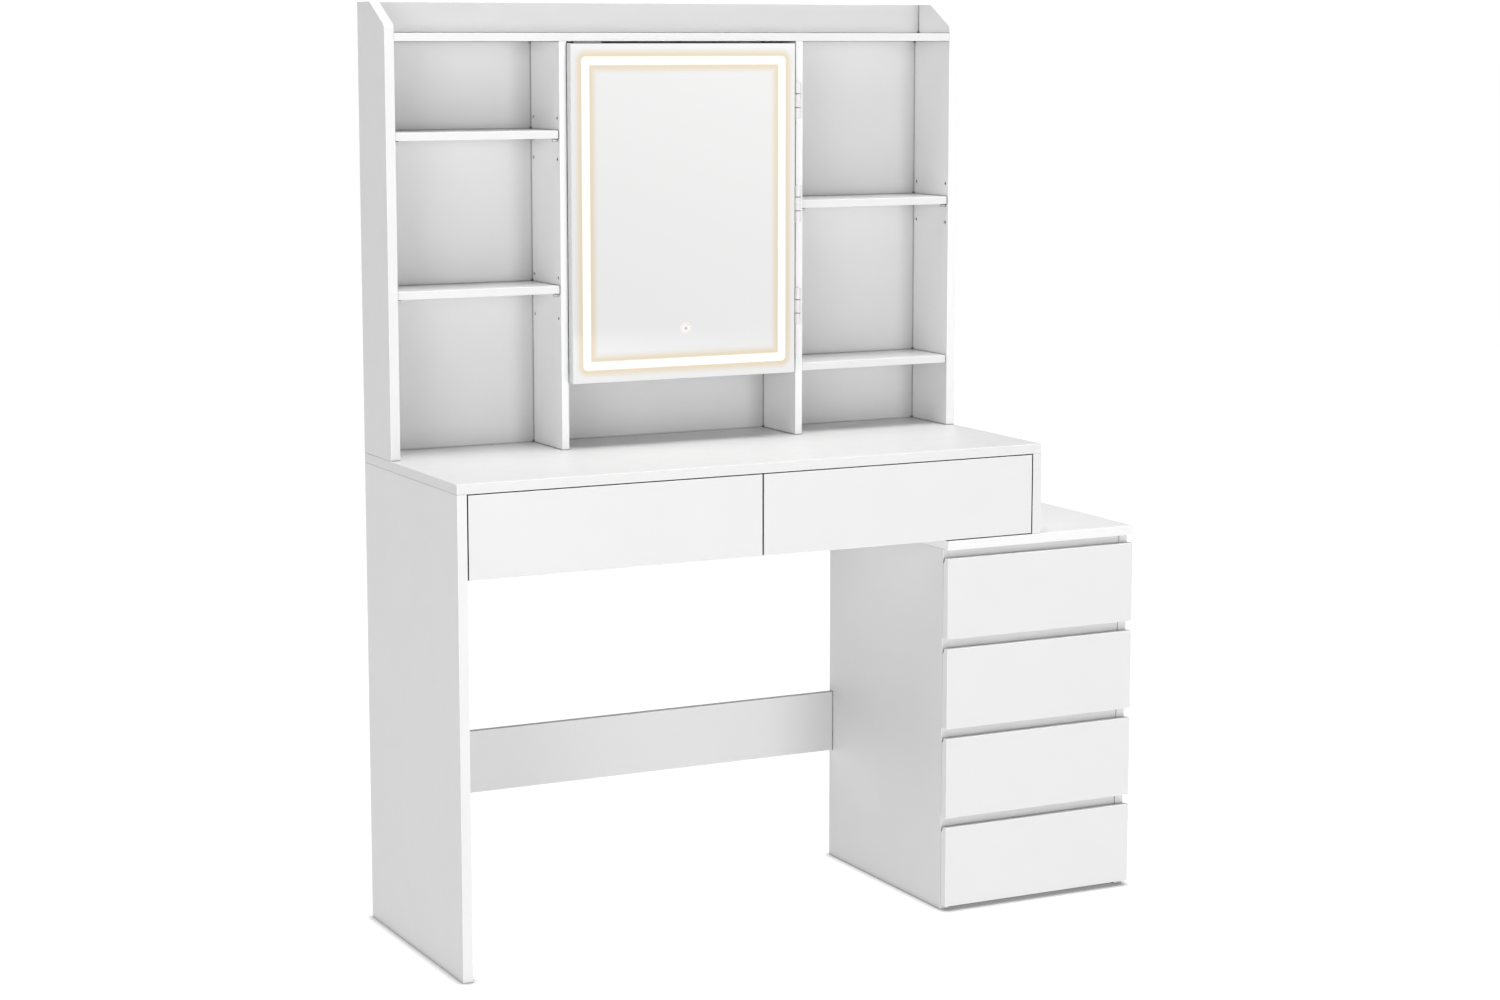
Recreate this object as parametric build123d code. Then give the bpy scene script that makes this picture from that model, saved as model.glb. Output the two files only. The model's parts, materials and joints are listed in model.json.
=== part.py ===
from build123d import *
import os

# Vanity table with a mirror cabinet: a desk with two drawers, a unit of four drawers under its right
# end, and a shelf hutch on top with a lit mirror door. Millimetres. X runs to the right seen from the
# front, Y from front to back, Z up. The origin is on the floor under the middle of the overall box.

# ---------------------------------------------------------------- overall sizes
total_width = 1140.0
total_depth = 380.0
total_height = 1400.0
desk_width = 968.0
desk_height = 725.0
unit_width = 338.0
unit_height = 584.5

# ---------------------------------------------------------------- stock
board = 15.0
thin_board = 12.0
sheet = 3.0
edge_round = 0.8
groove_depth = 4.0
sheet_inset = 2.0

# ---------------------------------------------------------------- drawers
front_gap = 1.5
desk_front_side_gap = 2.0
desk_front_split_gap = 2.5
unit_front_height = 125.5
finger_gap = 15.5
unit_front_clearance = 8.0
unit_drawer_count = 4
drawer_stop_gap = 0.5
bevel_height = 10.0
bevel_depth = 6.0
slide_space = 13.0
drawer_box_height = 80.0
unit_box_lift = 20.0
desk_box_lift = 16.0
drawer_box_depth = 335.0
drawer_bottom_lift = 8.0
drawer_groove_depth = 5.0
runner_length = 300.0
runner_setback = 3.0
runner_metal = 1.2
fixed_half = 13.5
fixed_reach = 9.5
fixed_lip = 2.8
moving_half = 8.5
moving_start = 2.2
moving_flare = 11.3

# ---------------------------------------------------------------- desk and unit frame
desk_rail_height = 110.0
partition_setback = 3.0
stretcher_bottom = 180.0
stretcher_height = 98.0
unit_rail_height = 32.0
unit_rail_setback = 1.5
unit_foot_rail_height = 18.0
unit_foot_rail_lift = 2.0

# ---------------------------------------------------------------- hutch
hutch_depth = 115.0
top_board_level = 1354.0
slope_depth = 61.0
slope_height = 35.0
slope_round = 10.0
left_bay_width = 261.0
right_bay_width = 264.5
shelf_setback = 3.0
shelf_play = 0.5
left_shelf_levels = (1209.0, 975.5)
right_shelf_level = 1094.5
fixed_shelf_level = 838.5
cabinet_floor_level = 841.0
cabinet_floor_setback = 12.0
cabinet_shelf_levels = (1180.0, 1010.0)
cabinet_shelf_setback = 25.0
back_sheet_top_gap = 3.0
cable_hole_radius = 17.5
cable_hole_side = 60.0
cable_hole_height = 45.0

# ---------------------------------------------------------------- shelf pins and their spare holes
pin_radius = 2.5
pin_length = 16.0
pin_hole_depth = 8.0
pin_from_back = 13.5
pin_from_back_front = 105.5
cabinet_pin_inset = 15.0
spare_spacing = 31.0
left_spare_centres = (1196.6, 956.1)
right_spare_centre = 1083.9

# ---------------------------------------------------------------- mirror door
door_thickness = 12.0
glass_thickness = 4.0
door_back_gap = 0.5
door_bottom = 826.5
door_top = 1339.0
hinge_gap = 10.0
glass_edge_bevel = 0.6
band_side_margin = 16.0
band_end_margin = 19.0
band_width = 14.5
band_corner = 8.0
band_depth = 0.5
light_channel_depth = 8.0
strip_width = 8.0
strip_thickness = 1.2
chip_size = 3.5
chip_height = 1.4
chip_pitch = 25.0
icon_level = 904.0
icon_rings = ((9.0, 7.7), (5.6, 4.6))
sensor_width = 34.0
sensor_height = 24.0
sensor_depth = 6.0
wire_slot = 5.0
inlet_width = 14.0
inlet_height = 8.0
inlet_depth = 9.0
inlet_from_side = 50.0
inlet_from_bottom = 50.0
inlet_mouth_width = 9.2
inlet_mouth_height = 3.4
inlet_mouth_depth = 6.5
inlet_tongue_width = 6.6
inlet_tongue_thickness = 0.8
inlet_tongue_length = 5.5

# ---------------------------------------------------------------- hinges and catch
hinge_levels = (1250.5, 1090.5, 930.5)
hinge_height = 57.0
middle_knuckle = 21.0
knuckle_play = 0.4
knuckle_radius = 4.6
hinge_pin_radius = 1.6
hinge_pin_play = 0.05
leaf_thickness = 1.5
leaf_relief = 0.6
frame_leaf_reach = 20.0
door_leaf_margin = 0.8
leaf_screw_spread = 17.0
screw_radius = 1.5
screw_head_radius = 2.8
screw_length = 10.0
catch_length = 46.0
catch_depth = 16.0
catch_height = 13.0
catch_from_side = 12.0
catch_gap = 0.6
catch_plate_length = 38.0
catch_plate_height = 12.0
catch_plate_thickness = 1.2

# ---------------------------------------------------------------- cams, bolts and dowels
cam_radius = 6.0
cam_depth = 9.5
cam_reach = 24.0
cam_slot_length = 8.0
cam_slot_width = 1.6
cam_slot_depth = 2.5
bolt_radius = 2.5
bolt_depth = 8.0
dowel_radius = 3.0
dowel_half = 9.0
cam_from_middle = 120.0
dowel_beside_cam = 30.0
rail_cam_inset = 110.0
rail_cam_beside_partition = 60.0
hutch_cam_inset = 25.0
cabinet_cam_inset_front = 30.0
cabinet_cam_inset_back = 20.0
fixed_shelf_shift = 8.0

# ---------------------------------------------------------------- planes worked out from the above
x_left = -total_width / 2
x_right = total_width / 2
y_front = -total_depth / 2
y_back = total_depth / 2
desk_right = x_left + desk_width
desk_inner_left = x_left + board
desk_inner_right = desk_right - board
desk_middle = (x_left + desk_right) / 2
desk_underside = desk_height - board
unit_left = x_right - unit_width
unit_inner_left = unit_left + board
unit_inner_right = x_right - board
unit_underside = unit_height - board
front_back_face = y_front + board
unit_panel_front = front_back_face + drawer_stop_gap
sheet_front = y_back - sheet_inset - sheet
sheet_rear = y_back - sheet_inset
hutch_front = y_back - hutch_depth
top_board_underside = top_board_level - thin_board
left_divider_x = desk_inner_left + left_bay_width
cabinet_left = left_divider_x + thin_board
right_divider_x = desk_inner_right - right_bay_width - thin_board
door_left = cabinet_left
door_right = right_divider_x - hinge_gap
door_rear = hutch_front - door_back_gap
door_board_front = door_rear - door_thickness
glass_front = door_board_front - glass_thickness
hinge_x = (door_right + right_divider_x) / 2
hinge_y = glass_front

X = Vector(1, 0, 0)
Y = Vector(0, 1, 0)
Z = Vector(0, 0, 1)


# ---------------------------------------------------------------- shapes used throughout
def block(x0, x1, y0, y1, z0, z1):
    """A plain box between two corners."""
    centre = Pos((x0 + x1) / 2, (y0 + y1) / 2, (z0 + z1) / 2)
    return centre * Box(x1 - x0, y1 - y0, z1 - z0)


def panel(x0, x1, y0, y1, z0, z1, ease=edge_round):
    """A board with eased edges."""
    return fillet(block(x0, x1, y0, y1, z0, z1).edges(), ease)


def rod(start, direction, radius, length):
    """A round bar from a point along a direction."""
    upright = Cylinder(radius, length, align=(Align.CENTER, Align.CENTER, Align.MIN))
    return Plane(origin=start, z_dir=direction) * upright


def near(shape, tool):
    """Whether two bounding boxes meet."""
    a = shape.bounding_box()
    b = tool.bounding_box()
    pairs = ((a.min.X, a.max.X, b.min.X, b.max.X),
             (a.min.Y, a.max.Y, b.min.Y, b.max.Y),
             (a.min.Z, a.max.Z, b.min.Z, b.max.Z))
    return all(low_a < high_b and low_b < high_a for low_a, high_a, low_b, high_b in pairs)


def cut(shape, tools):
    """A shape less every tool that reaches it."""
    reached = [tool for tool in tools if near(shape, tool)]
    return shape - reached if reached else shape


# ---------------------------------------------------------------- cams, bolts and dowels
class Fittings:
    """Collects the joint fittings and the bores they need in the boards."""

    def __init__(self):
        self.cams = []
        self.dowels = []
        self.bores = []

    def cam(self, joint, along, face, thickness):
        """joint: where the bolt crosses the joint; along: into the board with the cam;
        face: out of the side that shows the cam."""
        joint = Vector(*joint)
        mouth = joint + along * cam_reach + face * (thickness / 2)
        disc = rod(mouth, face * -1, cam_radius, cam_depth)
        recess = Plane(origin=mouth, x_dir=along, z_dir=face)
        slots = [recess * Box(cam_slot_length, cam_slot_width, cam_slot_depth * 2),
                 recess * Box(cam_slot_width, cam_slot_length, cam_slot_depth * 2)]
        bolt = rod(joint - along * bolt_depth, along, bolt_radius, bolt_depth + cam_reach - bolt_radius)
        self.cams += [disc - slots, bolt - disc]
        self.bores += [disc, bolt]

    def dowel(self, joint, along):
        """A wooden dowel centred on a joint."""
        peg = rod(Vector(*joint) - along * dowel_half, along, dowel_radius, 2 * dowel_half)
        self.dowels.append(peg)
        self.bores.append(peg)


def place_fittings():
    fit = Fittings()
    half = board / 2
    thin_half = thin_board / 2
    for y in (-cam_from_middle, cam_from_middle):
        fit.cam((x_left + half, y, desk_underside), Z * -1, X, board)
        fit.cam((desk_right - half, y, desk_underside), Z * -1, X * -1, board)
        fit.cam((unit_left + half, y, unit_underside), Z * -1, X, board)
        fit.cam((x_right - half, y, unit_underside), Z * -1, X * -1, board)
        fit.dowel((x_left + half, y + dowel_beside_cam, desk_underside), Z)
        fit.dowel((desk_right - half, y + dowel_beside_cam, desk_underside), Z)
        fit.dowel((unit_left + half, y + dowel_beside_cam, unit_underside), Z)
        fit.dowel((x_right - half, y + dowel_beside_cam, unit_underside), Z)
        fit.dowel((desk_right - half, y, unit_height), Z)
        fit.dowel((desk_middle, y, desk_underside), Z)
    rail_y = y_back - half
    for x in (desk_inner_left + rail_cam_inset, desk_middle - rail_cam_beside_partition,
              desk_inner_right - rail_cam_inset):
        fit.cam((x, rail_y, desk_underside), Z * -1, Y * -1, board)
    stretcher_y = y_back - thin_half
    stretcher_z = stretcher_bottom + stretcher_height / 2
    fit.cam((desk_inner_left, stretcher_y, stretcher_z), X, Y, thin_board)
    fit.cam((unit_left, stretcher_y, stretcher_z), X * -1, Y, thin_board)
    for z in (stretcher_z - dowel_beside_cam, stretcher_z + dowel_beside_cam):
        fit.dowel((desk_inner_left, stretcher_y, z), X)
        fit.dowel((unit_left, stretcher_y, z), X)
    for bottom, height in unit_rail_spans():
        z = bottom + height / 2
        y = unit_panel_front + unit_rail_setback + thin_half
        fit.cam((unit_inner_left, y, z), X, Y, thin_board)
        fit.cam((unit_inner_right, y, z), X * -1, Y, thin_board)
    for y in (hutch_front + hutch_cam_inset, sheet_front - hutch_cam_inset):
        z = top_board_level - thin_half
        fit.cam((desk_inner_left, y, z), X, Z * -1, thin_board)
        fit.cam((desk_inner_right, y, z), X * -1, Z * -1, thin_board)
        fit.dowel((x_left + half, y, desk_height), Z)
        fit.dowel((desk_right - half, y, desk_height), Z)
        for x in (left_divider_x + thin_half, right_divider_x + thin_half):
            fit.dowel((x, y, desk_height), Z)
            fit.dowel((x, y, top_board_underside), Z)
    for y in (hutch_front + cabinet_cam_inset_front, sheet_front - cabinet_cam_inset_back):
        z = cabinet_floor_level - thin_half
        fit.cam((cabinet_left, y, z), X, Z * -1, thin_board)
        fit.cam((right_divider_x, y, z), X * -1, Z * -1, thin_board)
        z = fixed_shelf_level - thin_half
        fit.cam((right_divider_x + thin_board, y - fixed_shelf_shift, z), X, Z * -1, thin_board)
        fit.cam((desk_inner_right, y - fixed_shelf_shift, z), X * -1, Z * -1, thin_board)
    z = (top_board_level + total_height) / 2
    fit.dowel((desk_inner_left, sheet_front - thin_half, z), X)
    fit.dowel((desk_inner_right, sheet_front - thin_half, z), X)
    return fit


# ---------------------------------------------------------------- desk
def desk_boards():
    partition_left = desk_middle - board / 2
    rail_bottom = desk_underside - desk_rail_height
    return {
        "desktop": panel(x_left, desk_right, y_front, y_back, desk_underside, desk_height),
        "desk_left_panel": panel(x_left, desk_inner_left, y_front, y_back, 0, desk_underside),
        "desk_right_panel": panel(desk_inner_right, desk_right, y_front, y_back,
                                  unit_height, desk_underside),
        "desk_partition": panel(partition_left, partition_left + board,
                                front_back_face + partition_setback, y_back - board,
                                rail_bottom, desk_underside),
        "desk_back_rail": panel(desk_inner_left, desk_inner_right, y_back - board, y_back,
                                rail_bottom, desk_underside),
        "rear_stretcher": panel(desk_inner_left, unit_left, y_back - thin_board, y_back,
                                stretcher_bottom, stretcher_bottom + stretcher_height),
    }


# ---------------------------------------------------------------- drawer unit frame
def unit_front_bottoms():
    """Lower edge of each of the four fronts, from the floor up."""
    pitch = unit_front_height + finger_gap
    return [unit_front_clearance + row * pitch for row in range(unit_drawer_count)]


def unit_rail_spans():
    """Bottom and height of each cross rail: foot rail, one behind each finger gap, top rail."""
    spans = [(unit_foot_rail_lift, unit_foot_rail_height)]
    for bottom in unit_front_bottoms()[1:]:
        middle = bottom - finger_gap / 2
        spans.append((middle - unit_rail_height / 2, unit_rail_height))
    spans.append((unit_underside - unit_rail_height, unit_rail_height))
    return spans


def unit_boards():
    rail_front = unit_panel_front + unit_rail_setback
    rails = [panel(unit_inner_left, unit_inner_right, rail_front, rail_front + thin_board,
                   bottom, bottom + height) for bottom, height in unit_rail_spans()]
    back = block(unit_inner_left - groove_depth, unit_inner_right + groove_depth,
                 sheet_front, sheet_rear, unit_foot_rail_lift + unit_foot_rail_height, unit_underside)
    left = panel(unit_left, unit_inner_left, unit_panel_front, y_back, 0, unit_underside)
    right = panel(unit_inner_right, x_right, unit_panel_front, y_back, 0, unit_underside)
    return {
        "unit_top": panel(unit_left, x_right, y_front, y_back, unit_underside, unit_height),
        "unit_left_panel": left - back,
        "unit_right_panel": right - back,
        "unit_back_sheet": back,
        "unit_front_rails": rails,
    }


# ---------------------------------------------------------------- hutch
def hutch_side(x0):
    """Side board with its top front corner sloped off."""
    outline = Polyline((hutch_front, desk_height), (y_back, desk_height), (y_back, total_height),
                       (hutch_front + slope_depth, total_height),
                       (hutch_front, total_height - slope_height), close=True)
    face = make_face(Plane(origin=(x0, 0, 0), x_dir=(0, 1, 0), z_dir=(1, 0, 0)) * outline)
    slope_ends = face.vertices().sort_by(Axis.Z)[-3:].sort_by(Axis.Y)[:2]
    side = extrude(fillet(slope_ends, slope_round), board)
    return fillet(side.edges(), edge_round)


def shelf(x0, x1, top, setback):
    return panel(x0 + shelf_play, x1 - shelf_play, hutch_front + setback, sheet_front - shelf_play,
                 top - thin_board, top)


def hutch_boards():
    back = block(desk_inner_left - groove_depth, desk_inner_right + groove_depth,
                 sheet_front, sheet_rear, desk_height, total_height - back_sheet_top_gap)
    hole_x = right_divider_x - cable_hole_side
    hole_z = cabinet_floor_level + cable_hole_height
    cable_hole = rod((hole_x, sheet_front, hole_z), Y, cable_hole_radius, sheet)
    left_bay = (desk_inner_left, left_divider_x)
    right_bay = (right_divider_x + thin_board, desk_inner_right)
    cabinet = (cabinet_left, right_divider_x)
    fixed_shelf = panel(*right_bay, hutch_front + shelf_setback, sheet_front,
                        fixed_shelf_level - thin_board, fixed_shelf_level)
    return {
        "hutch_left_panel": hutch_side(x_left) - back,
        "hutch_right_panel": hutch_side(desk_inner_right) - back,
        "hutch_top_board": panel(desk_inner_left, desk_inner_right, hutch_front, sheet_front,
                                 top_board_underside, top_board_level),
        "hutch_back_rail": panel(desk_inner_left, desk_inner_right, sheet_front - thin_board,
                                 sheet_front, top_board_level, total_height),
        "hutch_back_sheet": back - cable_hole,
        "hutch_left_divider": panel(left_divider_x, cabinet_left, hutch_front, sheet_front,
                                    desk_height, top_board_underside),
        "hutch_right_divider": panel(right_divider_x, right_divider_x + thin_board, hutch_front,
                                     sheet_front, desk_height, top_board_underside),
        "left_bay_shelves": [shelf(*left_bay, top, shelf_setback) for top in left_shelf_levels],
        "right_bay_shelves": [shelf(*right_bay, right_shelf_level, shelf_setback), fixed_shelf],
        "cabinet_floor": panel(*cabinet, hutch_front + cabinet_floor_setback, sheet_front,
                               cabinet_floor_level - thin_board, cabinet_floor_level),
        "cabinet_shelves": [shelf(*cabinet, top, cabinet_shelf_setback)
                            for top in cabinet_shelf_levels],
    }


def pin_pair(x_low, x_high, y, z):
    """Two pins facing each other across a bay, half of each in its board."""
    outer = pin_length - pin_hole_depth
    return [rod((x_low - pin_hole_depth, y, z), X, pin_radius, pin_hole_depth + outer),
            rod((x_high + pin_hole_depth, y, z), X * -1, pin_radius, pin_hole_depth + outer)]


def shelf_pins():
    """The pins under the adjustable shelves."""
    bays = [(desk_inner_left, left_divider_x, top) for top in left_shelf_levels]
    bays.append((right_divider_x + thin_board, desk_inner_right, right_shelf_level))
    pins = []
    for x_low, x_high, top in bays:
        for from_back in (pin_from_back, pin_from_back_front):
            pins += pin_pair(x_low, x_high, y_back - from_back, top - thin_board - pin_radius)
    cabinet_ys = (hutch_front + cabinet_shelf_setback + cabinet_pin_inset,
                  sheet_front - cabinet_pin_inset)
    for top in cabinet_shelf_levels:
        for y in cabinet_ys:
            pins += pin_pair(cabinet_left, right_divider_x, y, top - thin_board - pin_radius)
    return pins


def spare_holes():
    """Free pin holes one step above and below each adjustable shelf of the open bays."""
    bays = [(desk_inner_left, left_divider_x, centre) for centre in left_spare_centres]
    bays.append((right_divider_x + thin_board, desk_inner_right, right_spare_centre))
    holes = []
    for x_low, x_high, centre in bays:
        for from_back in (pin_from_back, pin_from_back_front):
            for step in (-spare_spacing, spare_spacing):
                holes += pin_pair(x_low, x_high, y_back - from_back, centre + step)
    return holes


# ---------------------------------------------------------------- drawer runners
def runner_box(side_x, inward, u0, u1, y0, z0, z1):
    """A bar of a runner; u is the distance from the carcass side, inward is +1 or -1 along X."""
    xs = sorted((side_x + inward * u0, side_x + inward * u1))
    return block(xs[0], xs[1], y0, y0 + runner_length, z0, z1)


def fixed_runner(side_x, inward, y0, z):
    """Cabinet member: a C section with inward lips, open towards the drawer."""
    bars = [runner_box(side_x, inward, 0, runner_metal, y0, z - fixed_half, z + fixed_half)]
    for sign in (-1, 1):
        edge, inner, tip = (z + sign * fixed_half, z + sign * (fixed_half - runner_metal),
                            z + sign * (fixed_half - runner_metal - fixed_lip))
        bars.append(runner_box(side_x, inward, 0, fixed_reach, y0, *sorted((edge, inner))))
        bars.append(runner_box(side_x, inward, fixed_reach - runner_metal, fixed_reach, y0,
                               *sorted((inner, tip))))
    return bars[0].fuse(*bars[1:])


def moving_runner(side_x, inward, y0, z):
    """Drawer member: a hat section held behind the lips of the cabinet member."""
    bars = [runner_box(side_x, inward, slide_space - runner_metal, slide_space, y0,
                       z - moving_half, z + moving_half)]
    for sign in (-1, 1):
        edge, inner, flare = (z + sign * moving_half, z + sign * (moving_half - runner_metal),
                              z + sign * moving_flare)
        bars.append(runner_box(side_x, inward, moving_start, slide_space, y0, *sorted((edge, inner))))
        bars.append(runner_box(side_x, inward, moving_start, moving_start + runner_metal, y0,
                               *sorted((inner, flare))))
    return bars[0].fuse(*bars[1:])


# ---------------------------------------------------------------- drawers
def bevelled_front(x0, x1, z0, z1):
    """A front whose upper rear edge is bevelled for the fingers."""
    outline = Polyline((y_front, z0), (front_back_face, z0), (front_back_face, z1 - bevel_height),
                       (front_back_face - bevel_depth, z1), (y_front, z1), close=True)
    face = make_face(Plane(origin=(x0, 0, 0), x_dir=(0, 1, 0), z_dir=(1, 0, 0)) * outline)
    return fillet(extrude(face, x1 - x0).edges(), edge_round)


def drawer(front, opening, box_bottom):
    """The pieces of one drawer; opening gives the X of the two carcass sides."""
    side_low, side_high = opening
    low = side_low + slide_space
    high = side_high - slide_space
    rear = front_back_face + drawer_box_depth
    top = box_bottom + drawer_box_height
    bottom_z = box_bottom + drawer_bottom_lift
    bottom = block(low + thin_board - drawer_groove_depth, high - thin_board + drawer_groove_depth,
                   front_back_face - drawer_groove_depth, rear - thin_board + drawer_groove_depth,
                   bottom_z, bottom_z + sheet)
    walls = [panel(low, low + thin_board, front_back_face, rear, box_bottom, top),
             panel(high - thin_board, high, front_back_face, rear, box_bottom, top),
             panel(low + thin_board, high - thin_board, rear - thin_board, rear, box_bottom, top)]
    runner_y = front_back_face + runner_setback
    runner_z = box_bottom + drawer_box_height / 2
    runners = [moving_runner(side_low, 1, runner_y, runner_z),
               moving_runner(side_high, -1, runner_y, runner_z)]
    fixed = [fixed_runner(side_low, 1, runner_y, runner_z),
             fixed_runner(side_high, -1, runner_y, runner_z)]
    pieces = {"front": front - bottom, "box": [wall - bottom for wall in walls], "bottom": bottom,
              "runners": runners}
    return pieces, fixed


def all_drawers():
    """Every drawer's pieces by node name, and the cabinet members of all runners."""
    nodes = {}
    fixed = []
    low = unit_height + front_gap
    high = desk_underside - front_gap
    partition = (desk_middle - board / 2, desk_middle + board / 2)
    split = desk_front_split_gap / 2
    desk = {
        "desk_drawer_left": ((desk_inner_left + desk_front_side_gap, desk_middle - split),
                             (desk_inner_left, partition[0])),
        "desk_drawer_right": ((desk_middle + split, desk_inner_right - desk_front_side_gap),
                              (partition[1], desk_inner_right)),
    }
    for name, (span, opening) in desk.items():
        front = panel(*span, y_front, front_back_face, low, high)
        pieces, rails = drawer(front, opening, low + desk_box_lift)
        nodes.update({f"{name}_{key}": value for key, value in pieces.items()})
        fixed += rails
    for row, bottom in enumerate(unit_front_bottoms()):
        front = bevelled_front(unit_left, x_right, bottom, bottom + unit_front_height)
        pieces, rails = drawer(front, (unit_inner_left, unit_inner_right), bottom + unit_box_lift)
        name = f"unit_drawer_{unit_drawer_count - row}"
        nodes.update({f"{name}_{key}": value for key, value in pieces.items()})
        fixed += rails
    nodes["runner_rails"] = fixed
    return nodes


# ---------------------------------------------------------------- mirror door
def loop(x0, x1, z0, z1, width, y0, y1, corner):
    """A rectangular ring lying in the door's plane, its outer corners rounded."""
    centre = Pos((x0 + x1) / 2, (y0 + y1) / 2, (z0 + z1) / 2)
    outer = Box(x1 - x0, y1 - y0, z1 - z0)
    outer = fillet(outer.edges().filter_by(Axis.Y), corner)
    inner = Box(x1 - x0 - 2 * width, 2 * (y1 - y0), z1 - z0 - 2 * width)
    return centre * (outer - inner)


band_left = door_left + band_side_margin
band_right = door_right - band_side_margin
band_bottom = door_bottom + band_end_margin
band_top = door_top - band_end_margin
icon_x = (door_left + door_right) / 2


def light_band():
    """Frosted strip round the glass and the two rings of the touch mark, flush with the front."""
    rear = glass_front + band_depth
    pieces = [loop(band_left, band_right, band_bottom, band_top, band_width, glass_front, rear,
                   band_corner)]
    for outer, inner in icon_rings:
        start = (icon_x, glass_front, icon_level)
        pieces.append(rod(start, Y, outer, band_depth) - rod(start, Y, inner, band_depth))
    return pieces


def led_strip():
    """Flexible light strip on the floor of its channel, with a chip every few centimetres."""
    inset = (band_width - strip_width) / 2
    x0, x1 = band_left + inset, band_right - inset
    z0, z1 = band_bottom + inset, band_top - inset
    floor = door_board_front + light_channel_depth
    strip = loop(x0, x1, z0, z1, strip_width, floor - strip_thickness, floor, inset)
    chips = []
    middle = strip_width / 2
    face = floor - strip_thickness
    across = int((x1 - x0 - 2 * strip_width) / chip_pitch)
    up = int((z1 - z0 - 2 * strip_width) / chip_pitch)
    for z in (z0 + middle, z1 - middle):
        for index in range(across + 1):
            x = (x0 + x1) / 2 + (index - across / 2) * chip_pitch
            chips.append((x, z))
    for x in (x0 + middle, x1 - middle):
        for index in range(up + 1):
            z = (z0 + z1) / 2 + (index - up / 2) * chip_pitch
            chips.append((x, z))
    half = chip_size / 2
    raised = [block(x - half, x + half, face - chip_height, face, z - half, z + half)
              for x, z in chips]
    return strip.fuse(*raised)


def touch_sensor():
    """Touch switch board behind the touch mark."""
    return panel(icon_x - sensor_width / 2, icon_x + sensor_width / 2, door_board_front,
                 door_board_front + sensor_depth, icon_level - sensor_height / 2,
                 icon_level + sensor_height / 2, edge_round / 2)


def inlet_block(width, front, height):
    """A block centred on the socket, from some depth out to the rear of the door."""
    x = door_right - inlet_from_side
    z = door_bottom + inlet_from_bottom
    return block(x - width / 2, x + width / 2, front, door_rear, z - height / 2, z + height / 2)


def power_inlet():
    """Low-voltage socket sunk in the rear of the door: a flat tongue in a round-ended mouth."""
    front = door_rear - inlet_depth
    body = fillet(inlet_block(inlet_width, front, inlet_height).edges(), edge_round)
    x = door_right - inlet_from_side
    z = door_bottom + inlet_from_bottom
    opening = Plane(origin=(x, door_rear, z), x_dir=(1, 0, 0), z_dir=(0, -1, 0))
    mouth = extrude(opening * SlotOverall(inlet_mouth_width, inlet_mouth_height), inlet_mouth_depth)
    floor = door_rear - inlet_mouth_depth
    tongue = block(x - inlet_tongue_width / 2, x + inlet_tongue_width / 2,
                   floor, floor + inlet_tongue_length,
                   z - inlet_tongue_thickness / 2, z + inlet_tongue_thickness / 2)
    return body - mouth + tongue


def door_pieces():
    band = light_band()
    strip = led_strip()
    sensor = touch_sensor()
    inlet = power_inlet()
    plate = catch_plate()
    channel = loop(band_left, band_right, band_bottom, band_top, band_width, door_board_front,
                   door_board_front + light_channel_depth, band_corner)
    slot = block(icon_x - wire_slot / 2, icon_x + wire_slot / 2, door_board_front,
                 door_board_front + wire_slot, band_bottom, icon_level)
    inlet_x = door_right - inlet_from_side
    inlet_z = door_bottom + inlet_from_bottom
    inlet_slot = block(inlet_x - wire_slot / 2, inlet_x + wire_slot / 2, door_board_front,
                       door_board_front + wire_slot, band_bottom, inlet_z)
    inlet_pocket = inlet_block(inlet_width, door_rear - inlet_depth, inlet_height)
    wood = panel(door_left, door_right, door_board_front, door_rear, door_bottom, door_top)
    glass = block(door_left, door_right, glass_front, door_board_front, door_bottom, door_top)
    front_edges = glass.faces().sort_by(Axis.Y)[0].edges()
    glass = chamfer(front_edges, glass_edge_bevel)
    return {
        "door_board": cut(wood, [channel, slot, inlet_slot, sensor, inlet_pocket, plate]),
        "mirror_glass": glass - band,
        "light_band": band,
        "led_strip": strip,
        "touch_sensor": sensor,
        "power_inlet": inlet,
        "catch_plate": plate,
    }


# ---------------------------------------------------------------- hinges
def hinge_spans(level):
    """Heights of the three knuckles of one hinge: lower, middle and upper."""
    low = level - hinge_height / 2
    high = level + hinge_height / 2
    low_mid = level - middle_knuckle / 2
    high_mid = level + middle_knuckle / 2
    return (low, low_mid - knuckle_play), (low_mid, high_mid), (high_mid + knuckle_play, high)


def leaf_screws(side_x, direction, y, level):
    """Two countersunk screws through a leaf; direction points into the wood."""
    screws = []
    for z in (level - leaf_screw_spread, level + leaf_screw_spread):
        head = rod((side_x - direction.X * leaf_thickness, y, z), direction, screw_head_radius,
                   leaf_thickness)
        shank = rod((side_x, y, z), direction, screw_radius, screw_length)
        screws.append(head + shank)
    return screws


def leaf(side_x, direction, spans, rear, level):
    """Plate with its knuckles; direction points from the plate into the wood."""
    start = hinge_y + knuckle_radius + leaf_relief
    xs = sorted((side_x, side_x - direction.X * leaf_thickness))
    low = level - hinge_height / 2
    high = level + hinge_height / 2
    plate = block(xs[0], xs[1], start, rear, low, high)
    tabs = [block(xs[0], xs[1], hinge_y, start, *span) for span in spans]
    rounds = [rod((hinge_x, hinge_y, span[0]), Z, knuckle_radius, span[1] - span[0])
              for span in spans]
    return plate.fuse(*tabs, *rounds)


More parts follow.
